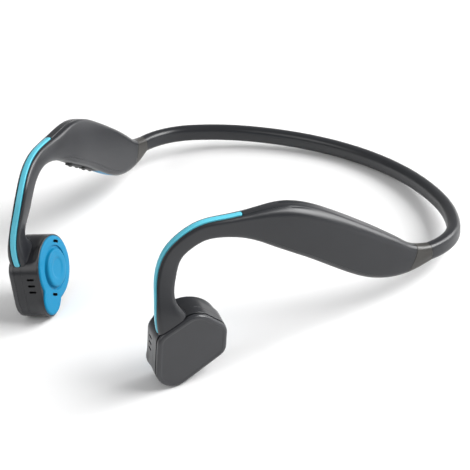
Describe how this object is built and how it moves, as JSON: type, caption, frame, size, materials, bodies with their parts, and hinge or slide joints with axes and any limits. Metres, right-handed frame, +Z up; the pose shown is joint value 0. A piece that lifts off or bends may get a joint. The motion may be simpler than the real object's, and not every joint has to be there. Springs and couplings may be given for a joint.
{
  "type": "bone conduction headphones",
  "caption": "Wrap-around bone conduction headphones: ear hooks with earpieces and pods, joined by a springy neckband behind the head.",
  "frame": {"origin": "centre of the footprint, on the surface the set stands on", "axes": "+Z up, +Y to the back of the neck, +X to the wearer's left"},
  "size_m": [0.1396, 0.1326, 0.0499],
  "materials": {
    "graphite_plastic": "satin moulded PC/ABS with a soft-touch coat",
    "graphite_silicone": "matte liquid silicone",
    "collar_plastic": "satin moulded plastic, slightly lighter",
    "blue_silicone": "soft matte silicone",
    "blue_plastic": "smooth semi-gloss plastic",
    "black_plastic": "fine matte",
    "titanium": "drawn titanium wire",
    "steel": "stamped steel",
    "magnet": "nickel plated",
    "copper": "enamelled copper winding",
    "circuit_board": "green solder mask",
    "battery_foil": "aluminium laminate pouch",
    "wire_insulation": "PVC insulation"
  },
  "bodies": {
    "neckband": {"neckband_sheath": "graphite_silicone", "memory_wire": "titanium", "signal_wires": "wire_insulation"},
    "left_side": {"left_ear_hook": "graphite_plastic", "left_accent_strip": "blue_plastic", "left_arm_wire": "wire_insulation", "left_collar": "collar_plastic", "left_face_pad": "blue_silicone", "left_vibration_plate": "black_plastic", "left_voice_coil": "copper", "left_suspension": "steel", "left_magnet": "magnet", "left_driver_yoke": "steel", "left_pod_base": "graphite_plastic", "left_driver_cup": "graphite_plastic", "button_board": "circuit_board", "button_switch": "black_plastic", "battery": "battery_foil"},
    "right_side": {"right_ear_hook": "graphite_plastic", "right_accent_strip": "blue_plastic", "right_arm_wire": "wire_insulation", "right_collar": "collar_plastic", "right_face_pad": "blue_silicone", "right_vibration_plate": "black_plastic", "right_voice_coil": "copper", "right_suspension": "steel", "right_magnet": "magnet", "right_driver_yoke": "steel", "right_pod_base": "graphite_plastic", "right_driver_cup": "graphite_plastic", "right_outer_plate": "graphite_plastic", "microphone": "steel", "control_board": "circuit_board", "radio_chip": "black_plastic", "volume_switches": "black_plastic", "charging_socket": "steel"},
    "multifunction_button": {"multifunction_button": "graphite_plastic"},
    "volume_up_button": {"volume_up_button": "black_plastic"},
    "volume_down_button": {"volume_down_button": "black_plastic"},
    "port_cover": {"port_cover": "blue_silicone"}
  },
  "joints": [
    {"name": "left_side_flex", "type": "hinge", "parent": "neckband", "child": "left_side", "pos_m": [0.06172, 0.0409, 0.00717], "axis": [0, 0, 1], "range_deg": [-4, 12], "stiffness_Nm_per_rad": 1.4, "deforming": ["neckband_sheath", "memory_wire", "signal_wires"]},
    {"name": "right_side_flex", "type": "hinge", "parent": "neckband", "child": "right_side", "pos_m": [-0.06172, 0.0409, 0.00717], "axis": [0, 0, -1], "range_deg": [-4, 12], "stiffness_Nm_per_rad": 1.4},
    {"name": "multifunction_press", "type": "slide", "parent": "left_side", "child": "multifunction_button", "axis": [-0.8891, 0.453, 0.0645], "range_m": [0, 0.0004], "stiffness_N_per_m": 3000, "springref_m": -0.0002},
    {"name": "volume_up_press", "type": "slide", "parent": "right_side", "child": "volume_up_button", "axis": [-0.2427, 0.5495, 0.7994], "range_m": [0, 0.0004], "stiffness_N_per_m": 3000, "springref_m": -0.0002},
    {"name": "volume_down_press", "type": "slide", "parent": "right_side", "child": "volume_down_button", "axis": [-0.2427, 0.5495, 0.7994], "range_m": [0, 0.0004], "stiffness_N_per_m": 3000, "springref_m": -0.0002},
    {"name": "port_cover_hinge", "type": "hinge", "parent": "right_side", "child": "port_cover", "pos_m": [-0.05604, -0.00789, 0.02023], "axis": [-0.9148, -0.4039, 0], "range_deg": [0, 95]}
  ]
}
